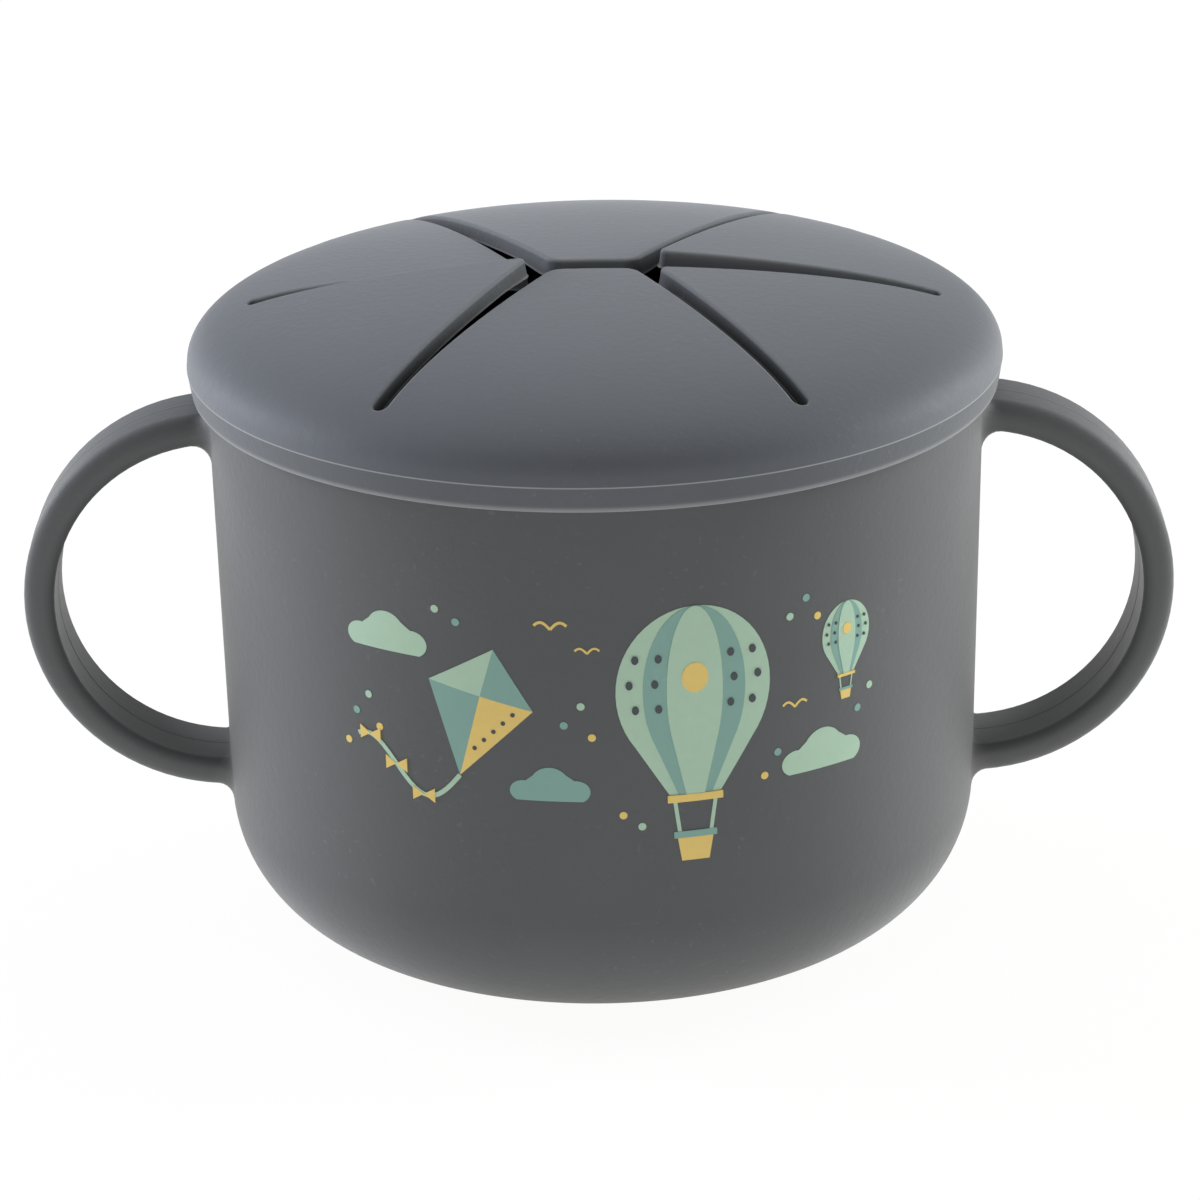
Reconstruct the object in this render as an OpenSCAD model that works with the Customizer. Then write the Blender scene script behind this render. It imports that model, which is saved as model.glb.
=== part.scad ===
// Silicone snack cup for a toddler: a round cup with two loop handles and a
// domed lid whose top is slit into six petals that bend in and spring back.
// Millimetres. Origin at the centre of the foot, +Z up, handles along X,
// front of the cup towards -Y.

/* [Cup] */
// Outer radius of the cup under its lip
cup_r = 49.6; // [42:0.1:58]
// Height of the lip above the table
cup_h = 76.5; // [66:0.5:95]
// Wall thickness at the lip
wall = 2.2; // [1.6:0.1:3.2]
// Extra wall thickness gained down to the floor
wall_gain = 0.6; // [0:0.1:1.2]
// Slope of the outer wall, in degrees from upright
wall_slope = 0.9; // [0.3:0.1:3]
// Outer radius of the rounded corner between wall and foot
corner_r = 17.5; // [10:0.5:26]
// Thickness of the floor
floor_t = 3; // [2:0.1:5]
// Radius of the shallow recess under the foot
foot_recess_r = 22; // [12:0.5:25]
// Depth of that recess
foot_recess = 0.6; // [0.2:0.1:1]
// Bevel on both edges of the lip
lip_bevel = 0.4; // [0.2:0.1:0.7]

/* [Handles] */
// Inner radius of each handle loop
loop_r = 21.7; // [16:0.1:23]
// Thickness of the handle, measured outward from the loop
loop_t = 4; // [3:0.1:6]
// Width of the handle, front to back
loop_w = 11.4; // [8:0.1:16]
// Gap between the lid's band and the top of the handles
loop_gap = 2.8; // [1:0.1:8]
// How far the loop's centre lies inside the cup's wall, at the lip's radius
loop_inset = 0.9; // [0:0.1:4]
// Rounding of the handle's two outer edges
loop_round = 1.3; // [1:0.1:2.8]
// Fillet under both arms where they leave the cup
root_fillet = 2.6; // [1:0.1:4]

/* [Lid] */
// How far the lid's band stands out past the cup
band_t = 2.1; // [1.4:0.1:3.5]
// Height of the band
band_h = 3; // [2:0.1:5]
// How much narrower the band is at its lower edge
band_taper = 0.5; // [0:0.1:0.8]
// Depth of the groove that takes the cup's lip
groove = 4.4; // [3.6:0.1:7]
// Rise of the dome above the band
dome_rise = 11.6; // [9:0.1:16]
// Thickness of the dome
dome_t = 2.8; // [2.2:0.1:3.6]
// Roundness of the dome: a half is an ellipse, less is fuller
dome_power = 0.38; // [0.3:0.01:0.5]
// Thickness of the plug ring inside the cup
plug_t = 1.6; // [1.2:0.1:2]
// Depth of the plug ring below the lip
plug_depth = 9; // [5:0.5:14]

/* [Petals] */
// Length of the mouth at the middle of the lid
mouth_l = 17.4; // [14:0.2:22]
// Width of the mouth
mouth_w = 4.8; // [4.6:0.1:7]
// Distance from the ends of the two side slits to the lid's edge
side_slit_rim = 8; // [7:0.1:12]
// Distance from the ends of the four slanted slits to the lid's edge
slant_slit_rim = 6; // [6:0.1:10]
// Direction of the slanted slits' ends, in degrees from the X axis
slant_slit_deg = 58; // [54:0.5:64]
// Where the slanted slits leave the mouth, along X
slant_start_x = 6.9; // [6:0.1:8]
// Width of a slit at the mouth
slit_w_in = 2.8; // [1.8:0.1:3.4]
// Width of a slit at its end
slit_w_out = 1.8; // [1.4:0.1:2.2]
// Radius of the rounded root that each petal bends about
hinge_r = 3; // [2.8:0.1:3.4]

/* [Fits] */
// Gap between the lid and the cup's wall, on each side of the lip
fit_gap = 0.3; // [0.2:0.05:0.5]
// Gap between a petal's root and its seat in the lid
hinge_gap = 0.3; // [0.25:0.05:0.5]

/* [Hidden] */
$fn = 96;

silicone_cup = "#6f7276";
silicone_lid = "#75797e";
// How far a cut runs past the face it opens
over = 1;
// Number of straight steps in small rounds and fillets
round_steps = 6;
fillet_steps = 8;

// Cup: radii and heights along its outer and inner wall
slope_run = tan(wall_slope);
band_bottom_z = cup_h - groove;
band_top_z = band_bottom_z + band_h;
function outer_r(z) = cup_r - slope_run * max(0, band_bottom_z - z);
function inner_r(z) = outer_r(z) - wall - wall_gain * (cup_h - z) / cup_h;
corner_in_r = corner_r - wall - wall_gain;
corner_c = [outer_r(corner_r) - corner_r, corner_r];
corner_in_c = [inner_r(floor_t + corner_in_r) - corner_in_r, floor_t + corner_in_r];
corner_steps = 14;

// Handles: the loop's centre hangs from the lid's band and from the wall
loop_x = cup_r - loop_inset;
loop_z = band_bottom_z - loop_gap - loop_t - loop_r;
fillet_end_deg = 95;

// Lid: radii that fit round and inside the cup's lip
lid_r = cup_r + fit_gap + band_t;
skirt_r = cup_r + fit_gap;
plug_out_r = inner_r(cup_h) - fit_gap;
plug_in_r = plug_out_r - plug_t;
plug_bottom_z = cup_h - plug_depth;
plug_bevel = plug_t / 2;
plug_low_r = inner_r(plug_bottom_z) - fit_gap;
dome_in_r = lid_r - dome_t - fit_gap;
dome_steps = 22;
// Least distance along the dome between two of its points
dome_point_gap = 0.2;
function dome_z(r, rim, rise) = band_top_z + rise * pow(1 - pow(r / rim, 2), dome_power);
function top_z(r) = dome_z(r, lid_r, dome_rise);
function under_z(r) = dome_z(r, dome_in_r, dome_rise - dome_t);

// Petals: where each slit starts and ends in plan, anticlockwise from +X
side_slit_r = lid_r - side_slit_rim;
slant_slit_r = lid_r - slant_slit_rim;
function at_deg(r, deg) = [r * cos(deg), r * sin(deg)];
slit_end = [for (half = [0, 180]) each [at_deg(side_slit_r, half),
            at_deg(slant_slit_r, half + slant_slit_deg),
            at_deg(slant_slit_r, half + 180 - slant_slit_deg)]];
slit_start = [for (s = [1, -1]) each [[s * slant_start_x, 0],
              [s * slant_start_x, s * mouth_w / 2], [-s * slant_start_x, s * mouth_w / 2]]];
end_hole_r = (slit_w_out + hinge_gap) / 2;
// A petal's hinge line runs between the ends of its two slits
function hinge_mid(i) = (slit_end[i] + slit_end[(i + 1) % 6]) / 2;
function hinge_run(i) = slit_end[(i + 1) % 6] - slit_end[i];
function hinge_len(i) = norm(hinge_run(i));
function hinge_deg(i) = atan2(hinge_run(i)[1], hinge_run(i)[0]);
// The hinge line lies in the middle of the dome's thickness, taken between
// the line's middle and its ends
function mid_z(r) = (top_z(r) + under_z(r)) / 2;
function hinge_z(i) = mid_z(norm(hinge_mid(i))) / 2
    + (mid_z(norm(slit_end[i])) + mid_z(norm(slit_end[(i + 1) % 6]))) / 4;
// The root stays inside the petal's own width, and its seat clears that width
function root_len(i) = hinge_len(i) - 2 * slit_w_out;
function seat_len(i) = hinge_len(i) - slit_w_out + hinge_gap;
// Height of the cutting prisms, well above the dome
tall = cup_h;

// Outline of a quarter circle from angle a to angle b
function arc(c, r, a, b, n) = [for (k = [0 : n]) c + at_deg(r, a + (b - a) * k / n)];

module cup_outer_2d() {
    polygon(concat([[0, 0], [corner_c[0], 0]],
        arc(corner_c, corner_r, -90, -wall_slope, corner_steps),
        [[outer_r(band_bottom_z), band_bottom_z], [cup_r, cup_h - lip_bevel],
         [cup_r - lip_bevel, cup_h], [0, cup_h]]));
}

module cup_inner_2d() {
    polygon(concat([[0, floor_t], [corner_in_c[0], floor_t]],
        arc(corner_in_c, corner_in_r, -90, -wall_slope, corner_steps),
        [[inner_r(cup_h - lip_bevel), cup_h - lip_bevel],
         [inner_r(cup_h) + lip_bevel, cup_h], [0, cup_h]]));
}

module cup_bowl() {
    color(silicone_cup) difference() {
        rotate_extrude() difference() {
            cup_outer_2d();
            cup_inner_2d();
        }
        translate([0, 0, -over]) cylinder(r = foot_recess_r, h = over + foot_recess);
    }
}

// Section of the handle: flat towards the fingers, rounded outside
module loop_section() {
    side = loop_w / 2;
    outside = loop_r + loop_t;
    polygon(concat([[loop_r, -side]],
        arc([outside - loop_round, loop_round - side], loop_round, -90, 0, round_steps),
        arc([outside - loop_round, side - loop_round], loop_round, 0, 90, round_steps),
        [[loop_r, side]]));
}

// Fillet below an arm that leaves the wall at the given height
module arm_fillet(z) {
    x = outer_r(z);
    width = loop_w - 2 * loop_round;
    rotate([90, 0, 0]) translate([0, 0, -width / 2]) linear_extrude(width)
        polygon(concat([[x - loop_t, z + loop_t / 4], [x - loop_t, z - root_fillet]],
            arc([x + root_fillet, z - root_fillet], root_fillet, 180, fillet_end_deg, fillet_steps),
            [[x + root_fillet, z + loop_t / 4]]));
}

module handle() {
    difference() {
        union() {
            translate([loop_x, 0, loop_z]) rotate([90, 0, 0]) rotate_extrude() loop_section();
            arm_fillet(loop_z + loop_r);
            arm_fillet(loop_z - loop_r - loop_t);
        }
        rotate_extrude() cup_outer_2d();
    }
}

module handle_right() color(silicone_cup) handle();

module handle_left() color(silicone_cup) mirror([1, 0, 0]) handle();

// Points along the dome between two radii
function dome_line(rim, rise, from, to) = concat(
    [[from, dome_z(from, rim, rise)]],
    [for (k = [1 : dome_steps - 1]) let (r = rim * sin(90 * k / dome_steps))
        if (r > from + dome_point_gap && r < to - dome_point_gap) [r, dome_z(r, rim, rise)]],
    [[to, dome_z(to, rim, rise)]]);
function reversed(list) = [for (k = [len(list) - 1 : -1 : 0]) list[k]];

// The dome's shell, out to where the deepest petal root ends
module dome_shell() {
    inside = mouth_w / 4;
    outside = min(slant_slit_r + hinge_r, dome_in_r - dome_point_gap / 2);
    rotate_extrude() polygon(concat(
        dome_line(lid_r, dome_rise, inside, outside),
        reversed(dome_line(dome_in_r, dome_rise - dome_t, inside, outside))));
}

module lid_section() {
    inside = mouth_w / 4;
    polygon(concat(
        dome_line(lid_r, dome_rise, inside, lid_r),
        [[lid_r - band_taper, band_bottom_z], [skirt_r, band_bottom_z],
         [skirt_r, cup_h], [plug_out_r, cup_h],
         [plug_low_r, plug_bottom_z + plug_bevel],
         [plug_low_r - plug_bevel, plug_bottom_z],
         [plug_in_r, plug_bottom_z]],
        reversed(dome_line(dome_in_r, dome_rise - dome_t, inside, plug_in_r))));
}

// Plan of one tapered slit, from inside the mouth to just past the slit's end
module slit_2d(i) {
    run = slit_end[i] - slit_start[i];
    along = run / norm(run);
    side = [-along[1], along[0]];
    inner = slit_start[i] - along * mouth_w;
    outer = slit_end[i] + along * slit_w_out / 2;
    polygon([inner + side * slit_w_in / 2, inner - side * slit_w_in / 2,
             outer - side * slit_w_out / 2, outer + side * slit_w_out / 2]);
}

// Plan of a petal. Its root is a strip that reaches past the hinge line.
module petal_2d(i) {
    j = (i + 1) % 6;
    difference() {
        polygon([slit_start[i], slit_end[i], slit_end[j], slit_start[j]]);
        slit_2d(i);
        slit_2d(j);
        square([mouth_l, mouth_w], center = true);
    }
    at_hinge(i) translate([-root_len(i) / 2, -hinge_r - over])
        square([root_len(i), hinge_r + over + hinge_gap]);
}

// Places a child with its X axis on a petal's hinge line and Y to the middle
module at_hinge(i) {
    mid = hinge_mid(i);
    translate([mid[0], mid[1], 0]) rotate([0, 0, hinge_deg(i)]) children();
}

// Round bar along a petal's hinge line
module hinge_bar(i, radius, length) {
    at_hinge(i) translate([0, 0, hinge_z(i)]) rotate([0, 90, 0])
        cylinder(r = radius, h = length, center = true);
}

module petal(i) {
    color(silicone_lid) intersection() {
        dome_shell();
        translate([0, 0, band_top_z]) linear_extrude(tall) petal_2d(i);
        union() {
            at_hinge(i) translate([-lid_r, 0, 0]) cube([2 * lid_r, 2 * lid_r, cup_h + tall]);
            hinge_bar(i, hinge_r, hinge_len(i));
        }
    }
}

module lid_ring() {
    color(silicone_lid) difference() {
        rotate_extrude() lid_section();
        translate([0, 0, band_top_z]) linear_extrude(tall)
            polygon([for (p = slit_end) p * (1 + hinge_gap / (norm(p) * cos(30)))]);
        for (i = [0 : 5]) {
            hinge_bar(i, hinge_r + hinge_gap, seat_len(i));
            translate([slit_end[i][0], slit_end[i][1], band_top_z])
                cylinder(r = end_hole_r, h = tall);
        }
    }
}

module petal_back_right() petal(0);

module petal_back() petal(1);

module petal_back_left() petal(2);

module petal_front_left() petal(3);

module petal_front() petal(4);

module petal_front_right() petal(5);

cup_bowl();
handle_left();
handle_right();
lid_ring();
petal_back_right();
petal_back();
petal_back_left();
petal_front_left();
petal_front();
petal_front_right();
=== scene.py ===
# %% [markdown]
# # A toddler's silicone snack cup
#
# The real thing is two soft mouldings. One is a round cup with two loop handles, and the other is a domed
# lid whose top is slit into six petals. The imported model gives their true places. This script dresses it:
# it builds each skin as a mesh, gives the silicone its velvety grey finish, adds a small print, and sets
# up camera and light.

# %% Load the frame
import math

import bmesh
import bpy
import numpy as np
from mathutils import Matrix, Vector, geometry


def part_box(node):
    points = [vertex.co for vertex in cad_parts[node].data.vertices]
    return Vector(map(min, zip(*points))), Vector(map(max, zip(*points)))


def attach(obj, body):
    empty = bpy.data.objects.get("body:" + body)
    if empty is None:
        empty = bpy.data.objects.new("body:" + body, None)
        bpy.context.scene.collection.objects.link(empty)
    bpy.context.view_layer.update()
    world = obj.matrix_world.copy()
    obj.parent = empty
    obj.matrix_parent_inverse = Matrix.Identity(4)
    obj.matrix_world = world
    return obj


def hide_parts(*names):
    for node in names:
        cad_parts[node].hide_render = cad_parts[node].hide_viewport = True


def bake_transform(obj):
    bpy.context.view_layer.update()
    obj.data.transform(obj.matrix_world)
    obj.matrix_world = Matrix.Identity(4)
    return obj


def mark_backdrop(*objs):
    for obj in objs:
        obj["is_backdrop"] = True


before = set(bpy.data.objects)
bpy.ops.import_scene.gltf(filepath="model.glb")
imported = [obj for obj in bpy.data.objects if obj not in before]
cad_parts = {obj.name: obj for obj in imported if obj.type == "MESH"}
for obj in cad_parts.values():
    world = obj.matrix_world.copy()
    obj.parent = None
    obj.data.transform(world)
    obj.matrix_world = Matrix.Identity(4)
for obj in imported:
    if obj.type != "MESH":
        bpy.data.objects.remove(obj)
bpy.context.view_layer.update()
MM = 0.001

# %% [markdown]
# ## Sizes
#
# Every size is in millimetres, as on a drawing. Those that the frame can tell are read from the boxes of
# its nodes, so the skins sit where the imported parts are. The others repeat the part's own driving sizes.


# %% Sizes of the cup, the lid and the handles
def low(node, axis):
    """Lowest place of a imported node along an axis."""
    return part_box(node)[0]["xyz".index(axis)] / MM


def high(node, axis):
    """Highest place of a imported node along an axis."""
    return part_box(node)[1]["xyz".index(axis)] / MM


FIT = 0.3  # clearance between the lid and the cup's lip
LID_R = high("lid_ring", "x")
LIP_Z = high("cup_bowl", "z")
GROOVE, BAND_H, BAND_TAPER, BAND_OVERHANG = 4.4, 3.0, 0.5, 2.4
BAND_LOW_Z = LIP_Z - GROOVE
BAND_TOP_Z = BAND_LOW_Z + BAND_H
CUP_R = LID_R - BAND_OVERHANG
SKIRT_R = CUP_R + FIT
WALL_SLOPE_DEG, FOOT_ROUND = 0.9, 17.5
CUP_SLOPE = math.tan(math.radians(WALL_SLOPE_DEG))
WALL_TOP, WALL_GAIN = 2.2, 0.6
FLOOR_T = 3.0
FOOT_RECESS_R, FOOT_RECESS = 22.0, 0.6
DOME_RISE, DOME_T, DOME_POWER = 11.6, 2.8, 0.38
DOME_INSET = 0.3
DOME_IN_R = LID_R - DOME_T - DOME_INSET
PLUG_LOW_Z = low("lid_ring", "z")
PLUG_OUT_R, PLUG_T = 47.1, 1.6
LOOP_R, LOOP_T, LOOP_W = 21.7, 4.0, 11.4
LOOP_INSET, LOOP_GAP = 0.9, 2.8
LOOP_X = CUP_R - LOOP_INSET
LOOP_Z = BAND_LOW_Z - LOOP_GAP - LOOP_T - LOOP_R
print(f"lid radius {LID_R:.2f}, lip at {LIP_Z:.2f}, loop centre at {LOOP_Z:.2f} mm")


# %% Heights and radii that follow from them
def wall_r(z):
    """Outer radius of the cup's straight wall at a height."""
    return CUP_R - CUP_SLOPE * max(0.0, BAND_LOW_Z - z)


def wall_in_r(z):
    """Inner radius of the cup's wall at a height."""
    return wall_r(z) - WALL_TOP - WALL_GAIN * (LIP_Z - z) / LIP_Z


def dome_top(r):
    """Height of the dome's outer face at a radius."""
    return BAND_TOP_Z + DOME_RISE * max(0.0, 1 - (r / LID_R) ** 2) ** DOME_POWER


def dome_under(r):
    """Height of the dome's inner face at a radius."""
    return BAND_TOP_Z + (DOME_RISE - DOME_T) * max(0.0, 1 - (r / DOME_IN_R) ** 2) ** DOME_POWER


# %% [markdown]
# ## Camera
#
# The picture was taken from a little above the lid with a long lens, so the round rim shows as a flat
# oval. The camera stands 600 mm from the middle of the lid's rim and looks 18 degrees down on it. It is
# tipped a further 3 degrees, because the cup stands below the middle of its rim, and rolled by one
# degree.

# %% Camera
FRAME_PX = 1200
FOCAL_PX = 4688
SENSOR_MM = 36
VIEW_DISTANCE = 600
VIEW_DOWN, AIM_DOWN, ROLL, PAN = 18.3, 21.33, 1.06, -0.01
CLIP_M = (0.01, 20)


def make_camera():
    """The camera at the photograph's place, with its lens worked out from the focal length in pixels."""
    camera = bpy.data.objects.new("camera", bpy.data.cameras.new("camera"))
    bpy.context.scene.collection.objects.link(camera)
    camera.data.sensor_width = SENSOR_MM
    camera.data.lens = SENSOR_MM * FOCAL_PX / FRAME_PX
    down = math.radians(VIEW_DOWN)
    place = Vector((0, -VIEW_DISTANCE * math.cos(down), BAND_TOP_Z + VIEW_DISTANCE * math.sin(down)))
    turn = (Matrix.Rotation(math.radians(PAN), 4, "Z")
            @ Matrix.Rotation(math.radians(90 - AIM_DOWN), 4, "X")
            @ Matrix.Rotation(math.radians(-ROLL), 4, "Z"))
    camera.matrix_world = Matrix.Translation(place * MM) @ turn
    camera.data.clip_start, camera.data.clip_end = CLIP_M
    bpy.context.scene.camera = camera
    return camera


camera = make_camera()
print(f"lens {camera.data.lens:.1f} mm, at {[round(v, 3) for v in camera.location]} m")

# %% [markdown]
# ## The silicone finish
#
# Moulded silicone is matte and faintly velvety: light creeps round its edges, fine grain breaks up the
# highlight, and a few pale specks of dust cling to it. Light and shade are also painted into the colour:
# painted highlights on thin edges and mould lines, painted light on faces that get little light from the
# lamps, and painted shade in the slits, on the lid's band and beside the handles' edges and mould lines.
# One node group makes the colour, roughness and grain, and each material places it with its own values.
# Where a skin has painted light or shade, its mesh carries them as two attributes, which stay with the mesh
# in every pose.


# %% Node helpers
def add(nodes, kind, **settings):
    """Adds a node; settings are its properties."""
    node = nodes.new(kind)
    for name, value in settings.items():
        setattr(node, name, value)
    return node


def noise(tree, scale, detail, roughness=0.5):
    """Noise in object space, in features per metre, so that it runs on from piece to piece."""
    place = add(tree.nodes, "ShaderNodeTexCoord")
    made = add(tree.nodes, "ShaderNodeTexNoise")
    made.inputs["Scale"].default_value = scale
    made.inputs["Detail"].default_value = detail
    made.inputs["Roughness"].default_value = roughness
    tree.links.new(place.outputs["Object"], made.inputs["Vector"])
    return made.outputs["Fac"]


def ramp(tree, value, low, high, start=0.0, end=1.0):
    """Maps a value from low..high to start..end, held at both ends."""
    node = add(tree.nodes, "ShaderNodeMapRange")
    for name, number in (("From Min", low), ("From Max", high), ("To Min", start), ("To Max", end)):
        node.inputs[name].default_value = number
    tree.links.new(value, node.inputs["Value"])
    return node.outputs["Result"]


def combine(tree, operation, first, second):
    """One Math node; each input is a socket or a number."""
    node = add(tree.nodes, "ShaderNodeMath", operation=operation)
    for socket, value in zip(node.inputs, (first, second)):
        if isinstance(value, (int, float)):
            socket.default_value = value
        else:
            tree.links.new(value, socket)
    return node.outputs[0]


def mix_colour(tree, share, first, second):
    """Mixes two colours by a share from 0 to 1."""
    node = add(tree.nodes, "ShaderNodeMix", data_type="RGBA")
    for socket, value in ((node.inputs[0], share), (node.inputs[6], first), (node.inputs[7], second)):
        tree.links.new(value, socket)
    return node.outputs[2]


# %% The group for silicone and ink
# Noises: features per metre, detail and roughness, and the range of values that each one uses
BROAD, FINE, SPECK, PATCH, GRAIN = (45, 3), (900, 2), (1300, 0), (60, 1), (2600, 2, 0.6)
BROAD_RANGE, FINE_RANGE, SPECK_RANGE, PATCH_RANGE = (0.3, 0.7), (0.25, 0.75), (0.74, 0.8), (0.45, 0.6)
FINE_TONE, FINE_ROUGH, FINE_HEIGHT = 0.6, 0.04, 0.5


def open_group():
    """The empty group with its sockets: what a material gives it, and what it gives back."""
    group = bpy.data.node_groups.new("matte_silicone", "ShaderNodeTree")
    for name, kind, value in (("Colour", "NodeSocketColor", (0.15, 0.16, 0.17, 1)),
                              ("Pale Colour", "NodeSocketColor", (0.3, 0.3, 0.3, 1)),
                              ("Painted Light", "NodeSocketFloat", 0.0),
                              ("Painted Shade", "NodeSocketFloat", 0.0),
                              ("Mottle", "NodeSocketFloat", 0.06),
                              ("Dust", "NodeSocketFloat", 0.3),
                              ("Roughness", "NodeSocketFloat", 0.6),
                              ("Grain", "NodeSocketFloat", 1.0)):
        socket = group.interface.new_socket(name, in_out="INPUT", socket_type=kind)
        socket.default_value = value
    for name, kind in (("Colour", "NodeSocketColor"), ("Roughness", "NodeSocketFloat"),
                       ("Height", "NodeSocketFloat")):
        group.interface.new_socket(name, in_out="OUTPUT", socket_type=kind)
    return group


def silicone_group():
    """Mottled colour with specks, painted light and painted shade, and the roughness and height of the
    grain.
    """
    group = open_group()
    given = add(group.nodes, "NodeGroupInput").outputs
    result = add(group.nodes, "NodeGroupOutput").inputs
    broad = ramp(group, noise(group, *BROAD), *BROAD_RANGE, -1, 1)
    fine = ramp(group, noise(group, *FINE), *FINE_RANGE, -1, 1)
    tone = combine(group, "ADD", broad, combine(group, "MULTIPLY", fine, FINE_TONE))
    tone = combine(group, "ADD", combine(group, "MULTIPLY", tone, given["Mottle"]), 1.0)
    # Painted shade: the mesh's darkness value takes away from the tone.
    tone = combine(group, "SUBTRACT", tone, given["Painted Shade"])
    toned = add(group.nodes, "ShaderNodeVectorMath", operation="SCALE")
    group.links.new(given["Colour"], toned.inputs[0])
    group.links.new(tone, toned.inputs["Scale"])
    speck = combine(group, "MULTIPLY", ramp(group, noise(group, *SPECK), *SPECK_RANGE),
                    ramp(group, noise(group, *PATCH), *PATCH_RANGE))
    speck = combine(group, "MULTIPLY", speck, given["Dust"])
    # Dust specks and painted light both lighten the colour towards the pale colour.
    pale = combine(group, "MAXIMUM", speck, given["Painted Light"])
    group.links.new(mix_colour(group, pale, toned.outputs[0], given["Pale Colour"]), result["Colour"])
    rough = combine(group, "ADD", given["Roughness"], combine(group, "MULTIPLY", fine, FINE_ROUGH))
    group.links.new(rough, result["Roughness"])
    height = combine(group, "ADD", noise(group, *GRAIN), combine(group, "MULTIPLY", fine, FINE_HEIGHT))
    group.links.new(combine(group, "MULTIPLY", height, given["Grain"]), result["Height"])
    return group


SILICONE = silicone_group()
print("group sockets:", [item.name for item in SILICONE.interface.items_tree])

# %% [markdown]
# The shader itself is a plain Principled BSDF. Sheen gives the velvet that brightens a surface seen edge
# on, which is why the sides of the cup look lighter than the middle. The ink is the same finish with
# other colours and less sheen.


# %% The materials
BUMP_STRENGTH, BUMP_DEPTH = 0.25, 0.00008
GLOSS, SHEEN_ROUGHNESS = 0.35, 0.45


def srgb(text):
    """A colour written as in a paint program, such as 6f7276, in linear light."""
    values = [int(text[k:k + 2], 16) / 255 for k in (0, 2, 4)]
    return tuple(v / 12.92 if v < 0.04045 else ((v + 0.055) / 1.055) ** 2.4 for v in values) + (1.0,)


def silicone(name, colour, pale, lined=True, roughness=0.58, sheen=0.35, mottle=0.035, dust=0.1, grain=1.0):
    """A material of the finish. A lined one takes painted light and painted shade from the mesh."""
    made = bpy.data.materials.new(name)
    made.use_nodes = True
    tree = made.node_tree
    shader = tree.nodes["Principled BSDF"]
    finish = add(tree.nodes, "ShaderNodeGroup", node_tree=SILICONE)
    for socket, value in (("Colour", srgb(colour)), ("Pale Colour", srgb(pale)), ("Roughness", roughness),
                          ("Mottle", mottle), ("Dust", dust), ("Grain", grain)):
        finish.inputs[socket].default_value = value
    for mark, socket in (("painted_light", "Painted Light"), ("painted_shade", "Painted Shade")) if lined else ():
        line = add(tree.nodes, "ShaderNodeAttribute", attribute_name=mark)
        tree.links.new(line.outputs["Fac"], finish.inputs[socket])
    bump = add(tree.nodes, "ShaderNodeBump")
    bump.inputs["Strength"].default_value = BUMP_STRENGTH
    bump.inputs["Distance"].default_value = BUMP_DEPTH
    tree.links.new(finish.outputs["Height"], bump.inputs["Height"])
    tree.links.new(bump.outputs["Normal"], shader.inputs["Normal"])
    tree.links.new(finish.outputs["Colour"], shader.inputs["Base Color"])
    tree.links.new(finish.outputs["Roughness"], shader.inputs["Roughness"])
    shader.inputs["Specular IOR Level"].default_value = GLOSS
    shader.inputs["Sheen Weight"].default_value = sheen
    shader.inputs["Sheen Roughness"].default_value = SHEEN_ROUGHNESS
    shader.inputs["Sheen Tint"].default_value = (1, 1, 1, 1)
    return made


CUP_GREY = silicone("silicone_cup_grey", "5c5e60", "a3a19b")
LID_GREY = silicone("silicone_lid_grey", "686c73", "a2a5a6")
print("materials:", CUP_GREY.name, LID_GREY.name)

# %% [markdown]
# ## Making a skin
#
# Each skin is worked out as points and faces, because the real shapes follow simple rules: turned
# profiles, a swept ring, and a dome with slits. Faces meet smoothly unless they turn sharply. Each skin
# but the petals rides on the body whose solid it stands for.

# %% Mesh helper
SHARP_DEG = 38


def skin(name, points, faces, material, pale=None, normals=None, dark=None):
    """A mesh object from points in millimetres. The values of pale and dark are its painted light and
    painted shade, and normals, where given, set the shading."""
    mesh = bpy.data.meshes.new(name)
    mesh.from_pydata([tuple(c * MM for c in p) for p in points], [], faces)
    bm = bmesh.new()
    bm.from_mesh(mesh)
    bmesh.ops.recalc_face_normals(bm, faces=bm.faces)
    bm.to_mesh(mesh)
    bm.free()
    mesh.shade_smooth()
    mesh.set_sharp_from_angle(angle=math.radians(SHARP_DEG))
    for mark, values in (("painted_light", pale), ("painted_shade", dark)):
        if values is not None:
            mesh.attributes.new(mark, "FLOAT", "POINT").data.foreach_set("value", values)
    if normals is not None:
        mesh.normals_split_custom_set_from_vertices(normals)
    mesh.materials.append(material)
    made = bpy.data.objects.new(name, mesh)
    bpy.context.scene.collection.objects.link(made)
    return made


def revolve(profile, turns, closed=False):
    """Points and faces of a profile of (radius, height, painted light) turned about the axis."""
    points, pale, rows = [], [], []
    for r, z, *paleness in profile:
        count = turns if r > 0 else 1
        rows.append([len(points) + k % count for k in range(turns)])
        points += [(r * math.cos(a), r * math.sin(a), z) for a in np.arange(count) * math.tau / turns]
        pale += [paleness[0] if paleness else 0.0] * count
    if closed:
        rows.append(rows[0])
    faces = []
    for near, far in zip(rows, rows[1:]):
        for k in range(turns):
            ring = dict.fromkeys((near[k], near[(k + 1) % turns], far[(k + 1) % turns], far[k]))
            faces.append(list(ring))
    return points, faces, pale


def arc(cx, cz, radius, start, end, steps):
    """Points on a round, from angle start to angle end, in degrees."""
    turn = np.radians(np.linspace(start, end, steps + 1))
    return [(cx + radius * math.cos(a), cz + radius * math.sin(a)) for a in turn]


# %% [markdown]
# ## The cup
#
# A turned profile: a nearly upright wall, a big round into the foot, a shallow recess below and a floor
# inside. The lip is softly rounded, as it is when the lid is lifted off.

# %% Cup
TURNS = 192
LIP_ROUND = 0.7
RECESS_ROUND = 0.3
WALL_HEIGHTS = (30, 45, 60)


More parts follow.
